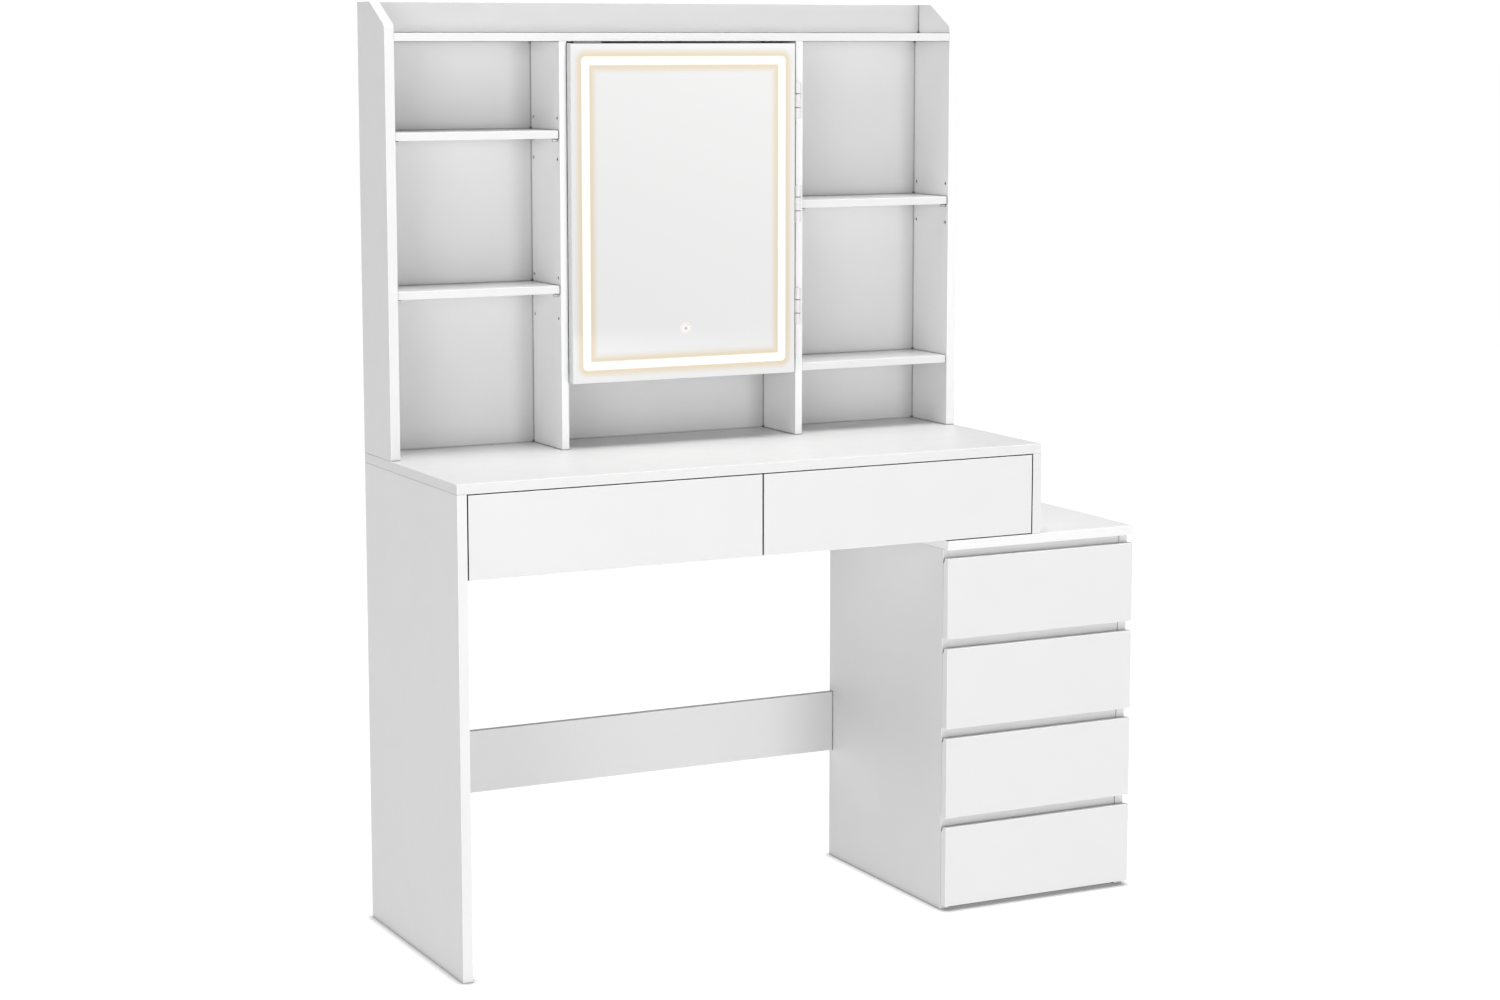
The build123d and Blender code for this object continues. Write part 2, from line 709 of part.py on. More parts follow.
def hinges():
    """Frame halves with their pins and screws, and door halves with their screws."""
    frame = []
    door = []
    frame_rear = hutch_front + frame_leaf_reach
    door_rear_edge = door_rear - door_leaf_margin
    for level in hinge_levels:
        lower, middle, upper = hinge_spans(level)
        bottom = level - hinge_height / 2
        pin = rod((hinge_x, hinge_y, bottom), Z, hinge_pin_radius, hinge_height)
        bore = rod((hinge_x, hinge_y, bottom), Z, hinge_pin_radius + hinge_pin_play, hinge_height)
        frame_screws = leaf_screws(right_divider_x, X, (hutch_front + frame_rear) / 2, level)
        door_screws = leaf_screws(door_right, X * -1, (door_board_front + door_rear) / 2, level)
        frame_leaf = leaf(right_divider_x, X, (lower, upper), frame_rear, level)
        door_leaf = leaf(door_right, X * -1, (middle,), door_rear_edge, level)
        frame += [frame_leaf - pin - frame_screws, pin, *frame_screws]
        door += [door_leaf - bore - door_screws, *door_screws]
    return {"hinge_frame_halves": frame, "hinge_door_halves": door}


# ---------------------------------------------------------------- magnetic catch
def magnetic_catch():
    """Plastic block under the top board at the door's free side, its magnet facing forward."""
    x0 = cabinet_left + catch_from_side
    front = door_rear + catch_gap
    return panel(x0, x0 + catch_length, front, front + catch_depth,
                 top_board_underside - catch_height, top_board_underside)


def catch_plate():
    """Steel plate let into the rear of the door in front of the magnet."""
    x0 = cabinet_left + catch_from_side + (catch_length - catch_plate_length) / 2
    z0 = door_top - catch_plate_height - edge_round * 2
    return block(x0, x0 + catch_plate_length, door_rear - catch_plate_thickness, door_rear,
                 z0, z0 + catch_plate_height)


# ---------------------------------------------------------------- the whole piece of furniture
def build():
    fit = place_fittings()
    pins = shelf_pins()
    nodes = {**desk_boards(), **unit_boards(), **hutch_boards()}
    moving_parts = {**all_drawers(), **door_pieces(), **hinges()}
    frame_screws = moving_parts["hinge_frame_halves"]
    door_screws = moving_parts["hinge_door_halves"]
    bores = fit.bores + pins + spare_holes()
    for name, shape in nodes.items():
        if isinstance(shape, list):
            nodes[name] = [cut(piece, bores) for piece in shape]
        else:
            nodes[name] = cut(shape, bores)
    nodes["hutch_right_divider"] = cut(nodes["hutch_right_divider"], frame_screws)
    moving_parts["door_board"] = cut(moving_parts["door_board"], door_screws)
    nodes.update(moving_parts)
    nodes["shelf_pins"] = pins
    nodes["cam_locks"] = fit.cams
    nodes["wood_dowels"] = fit.dowels
    nodes["magnetic_catch"] = magnetic_catch()
    return nodes


os.makedirs("parts", exist_ok=True)
for node, shape in build().items():
    solids = shape if isinstance(shape, list) else [shape]
    whole = Compound(children=solids) if len(solids) > 1 else solids[0]
    export_step(whole, f"parts/{node}.step")
print("written", len(os.listdir("parts")), "nodes")
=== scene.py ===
import json
import math

import bmesh
import bpy
from mathutils import Matrix, Vector

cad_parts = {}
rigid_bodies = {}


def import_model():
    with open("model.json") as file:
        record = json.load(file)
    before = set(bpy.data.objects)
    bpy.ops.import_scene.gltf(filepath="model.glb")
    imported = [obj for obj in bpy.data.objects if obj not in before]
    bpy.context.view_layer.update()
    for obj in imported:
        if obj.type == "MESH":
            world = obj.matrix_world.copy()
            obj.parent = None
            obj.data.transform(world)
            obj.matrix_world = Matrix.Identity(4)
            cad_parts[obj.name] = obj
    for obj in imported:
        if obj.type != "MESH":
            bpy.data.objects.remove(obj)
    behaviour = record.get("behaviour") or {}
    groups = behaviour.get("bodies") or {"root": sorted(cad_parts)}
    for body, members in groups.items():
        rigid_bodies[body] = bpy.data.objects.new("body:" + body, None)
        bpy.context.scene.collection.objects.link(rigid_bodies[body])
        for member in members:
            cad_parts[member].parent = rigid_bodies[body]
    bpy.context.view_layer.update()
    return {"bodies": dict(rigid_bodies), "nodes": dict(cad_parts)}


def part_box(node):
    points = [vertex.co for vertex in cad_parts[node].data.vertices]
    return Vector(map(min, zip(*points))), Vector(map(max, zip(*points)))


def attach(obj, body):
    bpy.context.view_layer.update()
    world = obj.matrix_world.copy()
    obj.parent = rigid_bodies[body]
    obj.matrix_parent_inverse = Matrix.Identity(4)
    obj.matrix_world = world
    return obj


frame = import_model()
MM = 0.001

# ---------------------------------------------------------------- camera
CAMERA_PLACE = Vector((-2.110, -4.134, 1.346))
CAMERA_AZIMUTH = math.radians(26.91)
CAMERA_PITCH = math.radians(7.82)
CAMERA_LENS = 72.8
CAMERA_SENSOR = 36.0
CAMERA_SHIFT = -0.03
CAMERA_NEAR = 0.05
CAMERA_FAR = 200.0

# ---------------------------------------------------------------- lamps: name, place, size, power
LAMPS = (
    ("front_box", Vector((-7.2, -7.2, 1.6)), 4.4, 212.0),
    ("low_box", Vector((1.8, -9.0, 0.9)), 2.6, 202.0),
    ("top_box", Vector((0.3, -1.1, 8.0)), 4.5, 590.0),
)
LAMP_TARGET = Vector((0, 0, 0.75))

# ---------------------------------------------------------------- sky and floor
SKY_DARK_WAY = Vector((-0.85, 0.53, 0.0)).normalized()
SKY_EDGE = 0.15
SKY_DIM = 0.15
SKY_HORIZON = 1.05
SKY_ZENITH = 0.12
SKY_LEVEL = 0.04
SKY_RISE = 0.22
FLOOR_RADIUS = 400.0
FLOOR_SIDES = 96
FLOOR_COLOUR = (0.1, 0.1, 0.1)
FLOOR_SHADOW = (0.02, 0.02, 0.02)
FLOOR_SHINE = 0.05
FLOOR_GLOW = 0.98
CONTACT_REACH = 14.0 * MM
CONTACT_SHUT = 0.45
CONTACT_OPEN = 0.92
CONTACT_GLOW = 0.25

# ---------------------------------------------------------------- whites of the boards
BOARD_WHITE = 0.742
BOARD_GRAIN = 1300.0
SHEET_WHITE = 0.705
SHEET_GRAIN = 800.0
# Painted light and shade: boards lighter or darker than the shared white, to meet the photograph's tones.
OWN_ROUGHNESS = 0.42
PAINTED_LIGHT_WHITES = {
    "hutch_back_rail": 0.60, "desk_back_rail": 0.66, "rear_stretcher": 0.72, "unit_left_panel": 0.70,
    "hutch_left_divider": 0.88, "hutch_right_divider": 0.87, "hutch_right_panel": 0.835, "unit_top": 0.83,
    "hutch_left_panel": 0.755, "desk_left_panel": 0.785, "door_board": 0.72,
}

# ---------------------------------------------------------------- painted shade in seams and holes, painted highlight on edges
# Painted shade: surfaces darkened where others come within the reach, in corners, creases and seams.
CREASE_SHADE_REACH = 5.0 * MM
CREASE_SHADE_SHUT = 0.52
CREASE_SHADE_OPEN = 0.76
CREASE_SHADE_TONE = 0.22
# A shorter painted-shade reach for the door board.
OWN_SHADE_REACHES = {"door_board": 1.5 * MM}
# Painted-shade reach on steel.
STEEL_SHADE_REACH = 2.2 * MM
# Painted shade on the magnetic catch: darkened over a wide reach where it is shut in.
CATCH_SHADE_REACH = 16.0 * MM
CATCH_SHADE_SHUT = 0.74
CATCH_SHADE_OPEN = 0.95
# Painted shade deep inside holes, near-black.
HOLE_SHADE_SHUT = 0.08
HOLE_SHADE_OPEN = 0.38
HOLE_SHADE = (0.02, 0.02, 0.02)
# Painted highlight: a near-white line along the rounded board edges.
EDGE_HIGHLIGHT_REACH = 1.5 * MM
EDGE_HIGHLIGHT_SHARE = 0.85
EDGE_HIGHLIGHT = (0.97, 0.97, 0.965)
BROAD_EDGE = (0.004, 0.10)
SHARP_EDGE = (0.05, 0.4)
NOISE_LOW = 0.3
NOISE_HIGH = 0.7

# ---------------------------------------------------------------- plastics and coated steel
WHITE_PLASTIC = (0.82, 0.82, 0.80)
WHITE_PLASTIC_ROUGHNESS = 0.36
DARK_PLASTIC = (0.035, 0.035, 0.038)
HINGE_WHITE = (0.72, 0.72, 0.71)
RUNNER_WHITE = (0.84, 0.84, 0.83)
HINGE_HALF = 28.5 * MM
# Painted shade in the splits between the hinges' knuckles, drawn wider than the gap.
SPLIT_RISE = 10.7 * MM
SPLIT_HALF = 0.7 * MM
SPLIT_SHADE = (0.12, 0.12, 0.12)

# ---------------------------------------------------------------- light band, its painted glow on the mirror, and touch mark
BAND_WIDTH = 14.5 * MM
BAND_CORNER = 8.0 * MM
BAND_FRINGE = 3.4 * MM
# The halo is a painted glow: a warm tint on the mirror beside the band.
HALO_REACH = 13.5 * MM
HALO_TINT = (0.945, 0.825, 0.63)
TOUCH_RINGS = ((7.6 * MM, 9.1 * MM), (4.3 * MM, 5.8 * MM))
TOUCH_DOT = 1.7 * MM
RIM_SLOPE = 0.7

# ---------------------------------------------------------------- drawer slides
SLIDE_SPACE = 13.0 * MM
SLIDE_START = 2.2 * MM
SLIDE_METAL = 1.2 * MM
SCREW_PLACES = (24.0 * MM, 150.0 * MM, 276.0 * MM)
SCREW_HEAD = 3.4 * MM
SCREW_PROFILE = ((1.0, 0.0), (1.0, 0.3), (0.82, 0.8), (0.45, 1.0), (0.38, 1.0), (0.15, 0.35))
SCREW_SIDES = 20
CARCASS_SCREW_HEIGHT = 0.8 * MM
DRAWER_SCREW_HEIGHT = 1.8 * MM
BALL_RADIUS = 1.7 * MM
BALL_LIFT = 10.4 * MM
BALL_STAND = 5.4 * MM
BALL_START = 8.0 * MM
BALL_PITCH = 8.0 * MM
BALL_COUNT = 6
CAGE_HALF = 2.4 * MM
CAGE_THICK = 0.5 * MM
CAGE_MARGIN = 4.0 * MM
SMOOTH_ANGLE = math.radians(35)


# ---------------------------------------------------------------- studio
def add(obj):
    """Links a new object to the scene."""
    bpy.context.scene.collection.objects.link(obj)
    return obj


def aim(obj, place, target):
    """Puts an object at a place, its -Z axis towards a target."""
    obj.location = place
    obj.rotation_euler = (target - place).to_track_quat("-Z", "Y").to_euler()


def make_camera():
    """The photograph's view, from the front left."""
    data = bpy.data.cameras.new("camera")
    data.lens = CAMERA_LENS
    data.sensor_width = CAMERA_SENSOR
    data.shift_y = CAMERA_SHIFT
    data.clip_start = CAMERA_NEAR
    data.clip_end = CAMERA_FAR
    camera = add(bpy.data.objects.new("camera", data))
    flat = math.cos(CAMERA_PITCH)
    way = Vector((
        math.sin(CAMERA_AZIMUTH) * flat,
        math.cos(CAMERA_AZIMUTH) * flat,
        -math.sin(CAMERA_PITCH),
    ))
    aim(camera, CAMERA_PLACE, CAMERA_PLACE + way)
    bpy.context.scene.camera = camera


def make_lamp(name, place, size, power):
    """A round soft box aimed at the middle of the furniture."""
    data = bpy.data.lights.new(name, "AREA")
    data.shape = "DISK"
    data.size = size
    data.energy = power
    aim(add(bpy.data.objects.new(name, data)), place, LAMP_TARGET)


def smooth_step(tree, value, low, high, out_low, out_high):
    """A value of the sky's node tree, eased from one range into another."""
    node = tree.nodes.new("ShaderNodeMapRange")
    node.interpolation_type = "SMOOTHSTEP"
    tree.links.new(value, node.inputs["Value"])
    for key, level in (("From Min", low), ("From Max", high), ("To Min", out_low), ("To Max", out_high)):
        node.inputs[key].default_value = level
    return node.outputs["Result"]


def make_sky():
    """A white horizon all round under a dimmer dome, dimmest towards one side."""
    world = bpy.data.worlds.new("studio")
    bpy.context.scene.world = world
    world.use_nodes = True
    tree = world.node_tree
    background = tree.nodes["Background"]
    background.inputs["Color"].default_value = (1, 1, 1, 1)
    way = tree.nodes.new("ShaderNodeTexCoord").outputs["Generated"]
    towards = tree.nodes.new("ShaderNodeVectorMath")
    towards.operation = "DOT_PRODUCT"
    towards.inputs[1].default_value = SKY_DARK_WAY
    tree.links.new(way, towards.inputs[0])
    dome = smooth_step(tree, towards.outputs["Value"], SKY_EDGE, 1.0, SKY_ZENITH, SKY_DIM * SKY_ZENITH)
    parts = tree.nodes.new("ShaderNodeSeparateXYZ")
    tree.links.new(way, parts.inputs[0])
    rise = smooth_step(tree, parts.outputs["Z"], SKY_LEVEL, SKY_RISE, 0.0, 1.0)
    level = tree.nodes.new("ShaderNodeMix")
    level.data_type = "FLOAT"
    tree.links.new(rise, level.inputs[0])
    level.inputs[2].default_value = SKY_HORIZON
    tree.links.new(dome, level.inputs[3])
    tree.links.new(level.outputs[0], background.inputs["Strength"])


def make_floor():
    """A wide round floor, level with the furniture's underside."""
    ring = []
    for k in range(FLOOR_SIDES):
        turn = math.tau * k / FLOOR_SIDES
        ring.append((FLOOR_RADIUS * math.cos(turn), FLOOR_RADIUS * math.sin(turn), 0))
    mesh = bpy.data.meshes.new("floor")
    mesh.from_pydata(ring, [], [range(FLOOR_SIDES)])
    floor = add(bpy.data.objects.new("floor", mesh))
    mesh.materials.append(floor_paper())


# ---------------------------------------------------------------- material building
class Finish:
    """One procedural material, built around a Principled shader."""

    def __init__(self, name, roughness=0.5, metallic=0.0):
        self.material = bpy.data.materials.new(name)
        self.material.use_nodes = True
        self.tree = self.material.node_tree
        self.shader = self.tree.nodes["Principled BSDF"]
        self.shader.inputs["Roughness"].default_value = roughness
        self.shader.inputs["Metallic"].default_value = metallic
        self.place = self.add("ShaderNodeTexCoord").outputs["Object"]

    def feed(self, socket, value):
        """Links another node's socket, or sets a plain value."""
        if isinstance(value, bpy.types.NodeSocket):
            self.tree.links.new(value, socket)
        elif isinstance(value, tuple) and len(value) == 3 and socket.type == "RGBA":
            socket.default_value = (*value, 1)
        else:
            socket.default_value = value

    def add(self, kind, inputs=None, **settings):
        """Adds a node with its settings and inputs."""
        node = self.tree.nodes.new(kind)
        for key, value in settings.items():
            setattr(node, key, value)
        for key, value in (inputs or {}).items():
            self.feed(node.inputs[key], value)
        return node

    def set(self, **inputs):
        """Feeds the shader's own inputs, an underscore standing for a space."""
        for key, value in inputs.items():
            self.feed(self.shader.inputs[key.replace("_", " ")], value)

    def math(self, operation, first, second=0.0):
        return self.add("ShaderNodeMath", {0: first, 1: second}, operation=operation).outputs[0]

    def times(self, first, second):
        return self.math("MULTIPLY", first, second)

    def distance(self, first, second):
        """Length of the hypotenuse over two sides."""
        squares = self.math("ADD", self.times(first, first), self.times(second, second))
        return self.math("SQRT", squares)

    def remap(self, value, low, high, out_low=0.0, out_high=1.0, smooth=False):
        """The value carried from one range into another, and held at its ends."""
        kind = "SMOOTHSTEP" if smooth else "LINEAR"
        inputs = {"Value": value, "From Min": low, "From Max": high, "To Min": out_low, "To Max": out_high}
        return self.add("ShaderNodeMapRange", inputs, interpolation_type=kind).outputs["Result"]

    def noise(self, scale, detail=2.0, stretch=(1, 1, 1)):
        """Noise fixed to the piece, as it comes from the node."""
        place = self.add("ShaderNodeMapping", {"Vector": self.place, "Scale": stretch}).outputs["Vector"]
        inputs = {"Vector": place, "Scale": scale, "Detail": detail}
        return self.add("ShaderNodeTexNoise", inputs).outputs["Fac"]

    def mottle(self, scale, detail=2.0, low=0.0, high=1.0):
        """Noise spread over a range of its own."""
        return self.remap(self.noise(scale, detail), NOISE_LOW, NOISE_HIGH, low, high)

    def mix(self, factor, first, second):
        """First colour at factor 0, second at 1."""
        return self.add("ShaderNodeMix", {0: factor, 6: first, 7: second}, data_type="RGBA").outputs[2]

    def tint(self, factor, colour, by):
        """The colour multiplied by another one, as far as the factor says."""
        inputs = {0: factor, 6: colour, 7: by}
        return self.add("ShaderNodeMix", inputs, data_type="RGBA", blend_type="MULTIPLY").outputs[2]

    def bump(self, height, strength, distance, under=None):
        """A bumped normal, on top of another one if it is given."""
        node = self.add("ShaderNodeBump", {"Height": height, "Strength": strength, "Distance": distance})
        if under is not None:
            self.tree.links.new(under, node.inputs["Normal"])
        return node.outputs["Normal"]

    def openness(self, reach):
        """1 in the open, down to 0 where other surfaces are closer than the reach."""
        return self.add("ShaderNodeAmbientOcclusion", {"Distance": reach}, samples=4).outputs["AO"]

    def seam(self, colour, dark, openness, shut=CREASE_SHADE_SHUT, clear=CREASE_SHADE_OPEN):
        """Painted shade: the colour, going over to a dark one where the surface is shut in."""
        return self.mix(self.remap(openness, shut, clear), dark, colour)

    def edge(self, radius, span):
        """1 on outer edges, 0 on flat faces; the span says how sharp a turn counts."""
        rounded = self.add("ShaderNodeBevel", {"Radius": radius}, samples=3).outputs["Normal"]
        true = self.add("ShaderNodeNewGeometry").outputs["Normal"]
        same = self.add("ShaderNodeVectorMath", {0: rounded, 1: true}, operation="DOT_PRODUCT")
        return self.remap(self.math("SUBTRACT", 1.0, same.outputs["Value"]), *span)

    def local_y(self):
        """The surface's own Y slope, whichever way its body has turned."""
        slope = self.add("ShaderNodeTexCoord").outputs["Normal"]
        return self.add("ShaderNodeSeparateXYZ", {"Vector": slope}).outputs["Y"]

    def axes(self):
        """The place's X, Y and Z."""
        node = self.add("ShaderNodeSeparateXYZ", {"Vector": self.place})
        return node.outputs["X"], node.outputs["Y"], node.outputs["Z"]

    def rectangle(self, centre, half, corner):
        """Signed distance in the X-Z plane from an upright rectangle with round corners."""
        x, _, z = self.axes()
        out = []
        for value, middle, reach in ((x, centre[0], half[0]), (z, centre[1], half[1])):
            off = self.math("ABSOLUTE", self.math("SUBTRACT", value, middle))
            out.append(self.math("SUBTRACT", off, reach - corner))
        outside = self.distance(*[self.math("MAXIMUM", value, 0.0) for value in out])
        inside = self.math("MINIMUM", self.math("MAXIMUM", *out), 0.0)
        return self.math("SUBTRACT", self.math("ADD", outside, inside), corner)

    def band_outlines(self):
        """Signed distances from the light band's outer and inner outline."""
        low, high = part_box("light_band")
        centre = ((low.x + high.x) / 2, (low.z + high.z) / 2)
        half = ((high.x - low.x) / 2, (high.z - low.z) / 2)
        inner_half = (half[0] - BAND_WIDTH, half[1] - BAND_WIDTH)
        return self.rectangle(centre, half, BAND_CORNER), self.rectangle(centre, inner_half, 0.0)


def scaled(colour, by):
    """A colour with each part multiplied by a number."""
    return tuple(part * by for part in colour)


# ---------------------------------------------------------------- materials
def lacquered(name, white, roughness, grain, reach=CREASE_SHADE_REACH):
    """A smooth white coating: faint mottling, fine grain, painted highlights on edges, painted shade in
    seams and holes.
    """
    finish = Finish(name)
    full = (white, white, white)
    shade = finish.mix(finish.mottle(9.0, 3.0), scaled(full, 0.985), full)
    # Painted highlight along the edges.
    edge = finish.edge(EDGE_HIGHLIGHT_REACH, BROAD_EDGE)
    shade = finish.mix(finish.times(edge, EDGE_HIGHLIGHT_SHARE), shade, EDGE_HIGHLIGHT)
    # Painted shade where the coating is shut in by nearby surfaces.
    openness = finish.openness(reach)
    shade = finish.seam(shade, scaled(full, CREASE_SHADE_TONE), openness)
    # Near-black painted shade deep inside holes.
    shade = finish.seam(shade, HOLE_SHADE, openness, HOLE_SHADE_SHUT, HOLE_SHADE_OPEN)
    rough = finish.mottle(42.0, 4.0, roughness - 0.05, roughness + 0.06)
    rough = finish.math("ADD", rough, finish.times(edge, 0.08))
    wave = finish.bump(finish.noise(65.0, 1.0), 0.05, 0.4 * MM)
    fine = finish.bump(finish.noise(grain), 0.06, 0.1 * MM, wave)
    finish.set(Base_Color=shade, Roughness=rough, Normal=fine)
    return finish.material


def painted_reflection(finish, x, z):
    """Painted reflection on the mirror: greyer low on the left, with a painted warm glow beside the light
    band.
    """
    # Painted reflection: darker grey low on the left, lighter high on the right.
    grey = (0.78, 0.78, 0.78)
    bright = (0.92, 0.92, 0.915)
    side_share = 0.25
    low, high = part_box("mirror_glass")
    lift = finish.remap(z, low.z, high.z)
    side = finish.remap(x, low.x, high.x, 0.0, side_share)
    level = finish.remap(finish.math("ADD", lift, side), 0.0, 1.0 + side_share)
    reflected_grey = finish.mix(level, grey, bright)
    # Painted glow: a warm tint beside the light band.
    outer, inner = finish.band_outlines()
    off = finish.math("MAXIMUM", outer, finish.times(inner, -1.0))
    halo = finish.remap(off, 0.0, HALO_REACH, 1.0, 0.0, smooth=True)
    return finish.tint(halo, reflected_grey, HALO_TINT)


def touch_mark(finish, x, z):
    """Two masks of the touch mark, drawn round the sensor's middle: its dot, and its frosted rings."""
    low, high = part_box("touch_sensor")
    across = finish.math("SUBTRACT", x, (low.x + high.x) / 2)
    up = finish.math("SUBTRACT", z, (low.z + high.z) / 2)
    away = finish.distance(across, up)
    dot = finish.math("LESS_THAN", away, TOUCH_DOT)
    rings = 0.0
    for inside, outside in TOUCH_RINGS:
        beyond = finish.math("GREATER_THAN", away, inside)
        ring = finish.times(beyond, finish.math("LESS_THAN", away, outside))
        rings = finish.math("ADD", ring, rings)
    return dot, rings


def mirror_silver():
    """Silvered glass: a painted reflection, a painted warm glow along the light band, the touch mark, bare
    glass at its edges.
    """
    dot_colour = (0.55, 0.55, 0.56)
    frost_colour = (0.95, 0.95, 0.95)
    frost_roughness = 0.5
    frost_glow = 0.6
    rim_colour = (0.82, 0.87, 0.845)
    rim_roughness = 0.25
    finish = Finish("mirror", metallic=1.0)
    x, _, z = finish.axes()
    dot, frost = touch_mark(finish, x, z)
    rim = finish.math("LESS_THAN", finish.math("ABSOLUTE", finish.local_y()), RIM_SLOPE)
    colour = finish.mix(dot, painted_reflection(finish, x, z), dot_colour)
    colour = finish.mix(frost, colour, frost_colour)
    colour = finish.mix(rim, colour, rim_colour)
    smear = finish.remap(finish.noise(14.0, 5.0, (1, 1, 0.4)), 0.35, 0.75, 0.015, 0.035)
    rough = finish.math("ADD", smear, finish.times(frost, frost_roughness))
    rough = finish.math("MAXIMUM", rough, finish.times(rim, rim_roughness))
    unfrosted = finish.math("SUBTRACT", 1.0, frost)
    coated = finish.math("MINIMUM", unfrosted, finish.math("SUBTRACT", 1.0, rim))
    flow = finish.bump(finish.noise(4.0, 1.0), 0.01, 0.2 * MM)
    finish.set(Base_Color=colour, Roughness=rough, Metallic=coated, Normal=flow)
    finish.set(Emission_Color=(1.0, 1.0, 1.0), Emission_Strength=finish.times(frost, frost_glow))
    return finish.material


def band_glow():
    """Frosted glass lit from behind: white in the middle, warm along both edges."""
    fringe = (1.0, 0.86, 0.62)
    middle = (1.0, 0.99, 0.95)
    finish = Finish("light_band")
    outer, inner = finish.band_outlines()
    depth = finish.math("MINIMUM", finish.times(outer, -1.0), inner)
    core = finish.remap(depth, 0.0, BAND_FRINGE, smooth=True)
    spread = finish.mottle(160.0, 2.0, 0.97, 1.03)
    glow = finish.times(finish.remap(core, 0.0, 1.0, 0.62, 1.15), spread)
    frost = finish.bump(finish.noise(2600.0, 1.0), 0.1, 0.05 * MM)
    rough = finish.mottle(300.0, 2.0, 0.5, 0.65)
    finish.set(Base_Color=(0.2, 0.2, 0.2), Roughness=rough, Normal=frost)
    finish.set(Emission_Color=finish.mix(core, fringe, middle), Emission_Strength=glow)
    return finish.material


def led_tape():
    """White tape with printed marks and a yellow chip every few millimetres."""
    tape_white = (0.82, 0.82, 0.80)
    print_colour = (0.70, 0.62, 0.42)
    chip_colour = (0.86, 0.68, 0.16)
    half_pitch = 4.2 * MM
    half_chip = 1.4 * MM
    finish = Finish("led_strip")
    x, _, z = finish.axes()
    run = finish.math("PINGPONG", finish.math("ADD", x, z), half_pitch)
    chip = finish.math("LESS_THAN", run, half_chip)
    marks = finish.remap(finish.noise(420.0, 1.0), 0.55, 0.60)
    tape = finish.mix(marks, tape_white, print_colour)
    rough = finish.mottle(90.0, 2.0, 0.35, 0.5)
    relief = finish.bump(chip, 0.6, 0.3 * MM)
    finish.set(Base_Color=finish.mix(chip, tape, chip_colour), Roughness=rough, Normal=relief)
    return finish.material


def coated_steel(name, colour, roughness, wear, middles=()):
    """Powder-coated steel with rubbed edges; painted shade where shut in and at knuckle splits round
    middles.
    """
    bare = (0.55, 0.55, 0.56)
    finish = Finish(name)
    patch = finish.remap(finish.noise(140.0, 3.0), 0.45, 0.6)
    rub = finish.times(finish.times(finish.edge(0.35 * MM, SHARP_EDGE), patch), wear)
    shade = finish.mix(finish.mottle(60.0), scaled(colour, 0.97), colour)
    # Painted shade where the steel is shut in by nearby surfaces.
    shade = finish.seam(shade, scaled(colour, CREASE_SHADE_TONE), finish.openness(STEEL_SHADE_REACH))
    # Painted shade in the knuckle splits.
    for middle in middles:
        off = finish.math("ABSOLUTE", finish.math("SUBTRACT", finish.axes()[2], middle))
        off = finish.math("ABSOLUTE", finish.math("SUBTRACT", off, SPLIT_RISE))
        shade = finish.mix(finish.math("LESS_THAN", off, SPLIT_HALF), shade, SPLIT_SHADE)
    rough = finish.mottle(220.0, 2.0, roughness - 0.06, roughness + 0.06)
    pebble = finish.bump(finish.noise(1500.0, 1.0), 0.12, 0.1 * MM)
    finish.set(Base_Color=finish.mix(rub, shade, bare), Roughness=rough, Metallic=rub, Normal=pebble)
    return finish.material


def hinge_middles():
    """Heights of the three hinges' middles."""
    low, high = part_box("hinge_frame_halves")
    return low.z + HINGE_HALF, (low.z + high.z) / 2, high.z - HINGE_HALF


def zinc():
    """Die-cast zinc: patchy sheen, fine scratches, polished edges."""
    dull = (0.50, 0.50, 0.51)
    bright = (0.66, 0.66, 0.67)
    polished = (0.78, 0.78, 0.79)
    finish = Finish("fitting_metal", metallic=1.0)
    edge = finish.edge(0.3 * MM, SHARP_EDGE)
    patch = finish.mottle(180.0, 4.0)
    shade = finish.mix(edge, finish.mix(patch, dull, bright), polished)
    rough = finish.remap(patch, 0.0, 1.0, 0.46, 0.30)
    rough = finish.math("SUBTRACT", rough, finish.times(edge, 0.12))
    scratch = finish.bump(finish.noise(260.0, 3.0, (1, 8, 1)), 0.15, 0.1 * MM)
    finish.set(Base_Color=shade, Roughness=rough, Normal=scratch)
    return finish.material


def beech():
    """Turned beech: long grain with short darker flecks."""
    dark = (0.52, 0.36, 0.20)
    light = (0.70, 0.52, 0.33)
    fleck_colour = (0.34, 0.21, 0.11)
    worn_colour = (0.74, 0.58, 0.40)
    finish = Finish("dowel_wood")
    grain = finish.noise(120.0, 4.0, (0.15, 1, 1))
    fleck = finish.remap(finish.noise(520.0, 2.0, (0.3, 1, 1)), 0.58, 0.66)
    wood = finish.mix(finish.remap(grain, NOISE_LOW, NOISE_HIGH), dark, light)
    wood = finish.mix(finish.times(fleck, 0.6), wood, fleck_colour)
    wood = finish.mix(finish.times(finish.edge(0.4 * MM, SHARP_EDGE), 0.4), wood, worn_colour)
    rough = finish.remap(grain, NOISE_LOW, NOISE_HIGH, 0.55, 0.72)
    finish.set(Base_Color=wood, Roughness=rough, Normal=finish.bump(grain, 0.3, 0.15 * MM))
    return finish.material


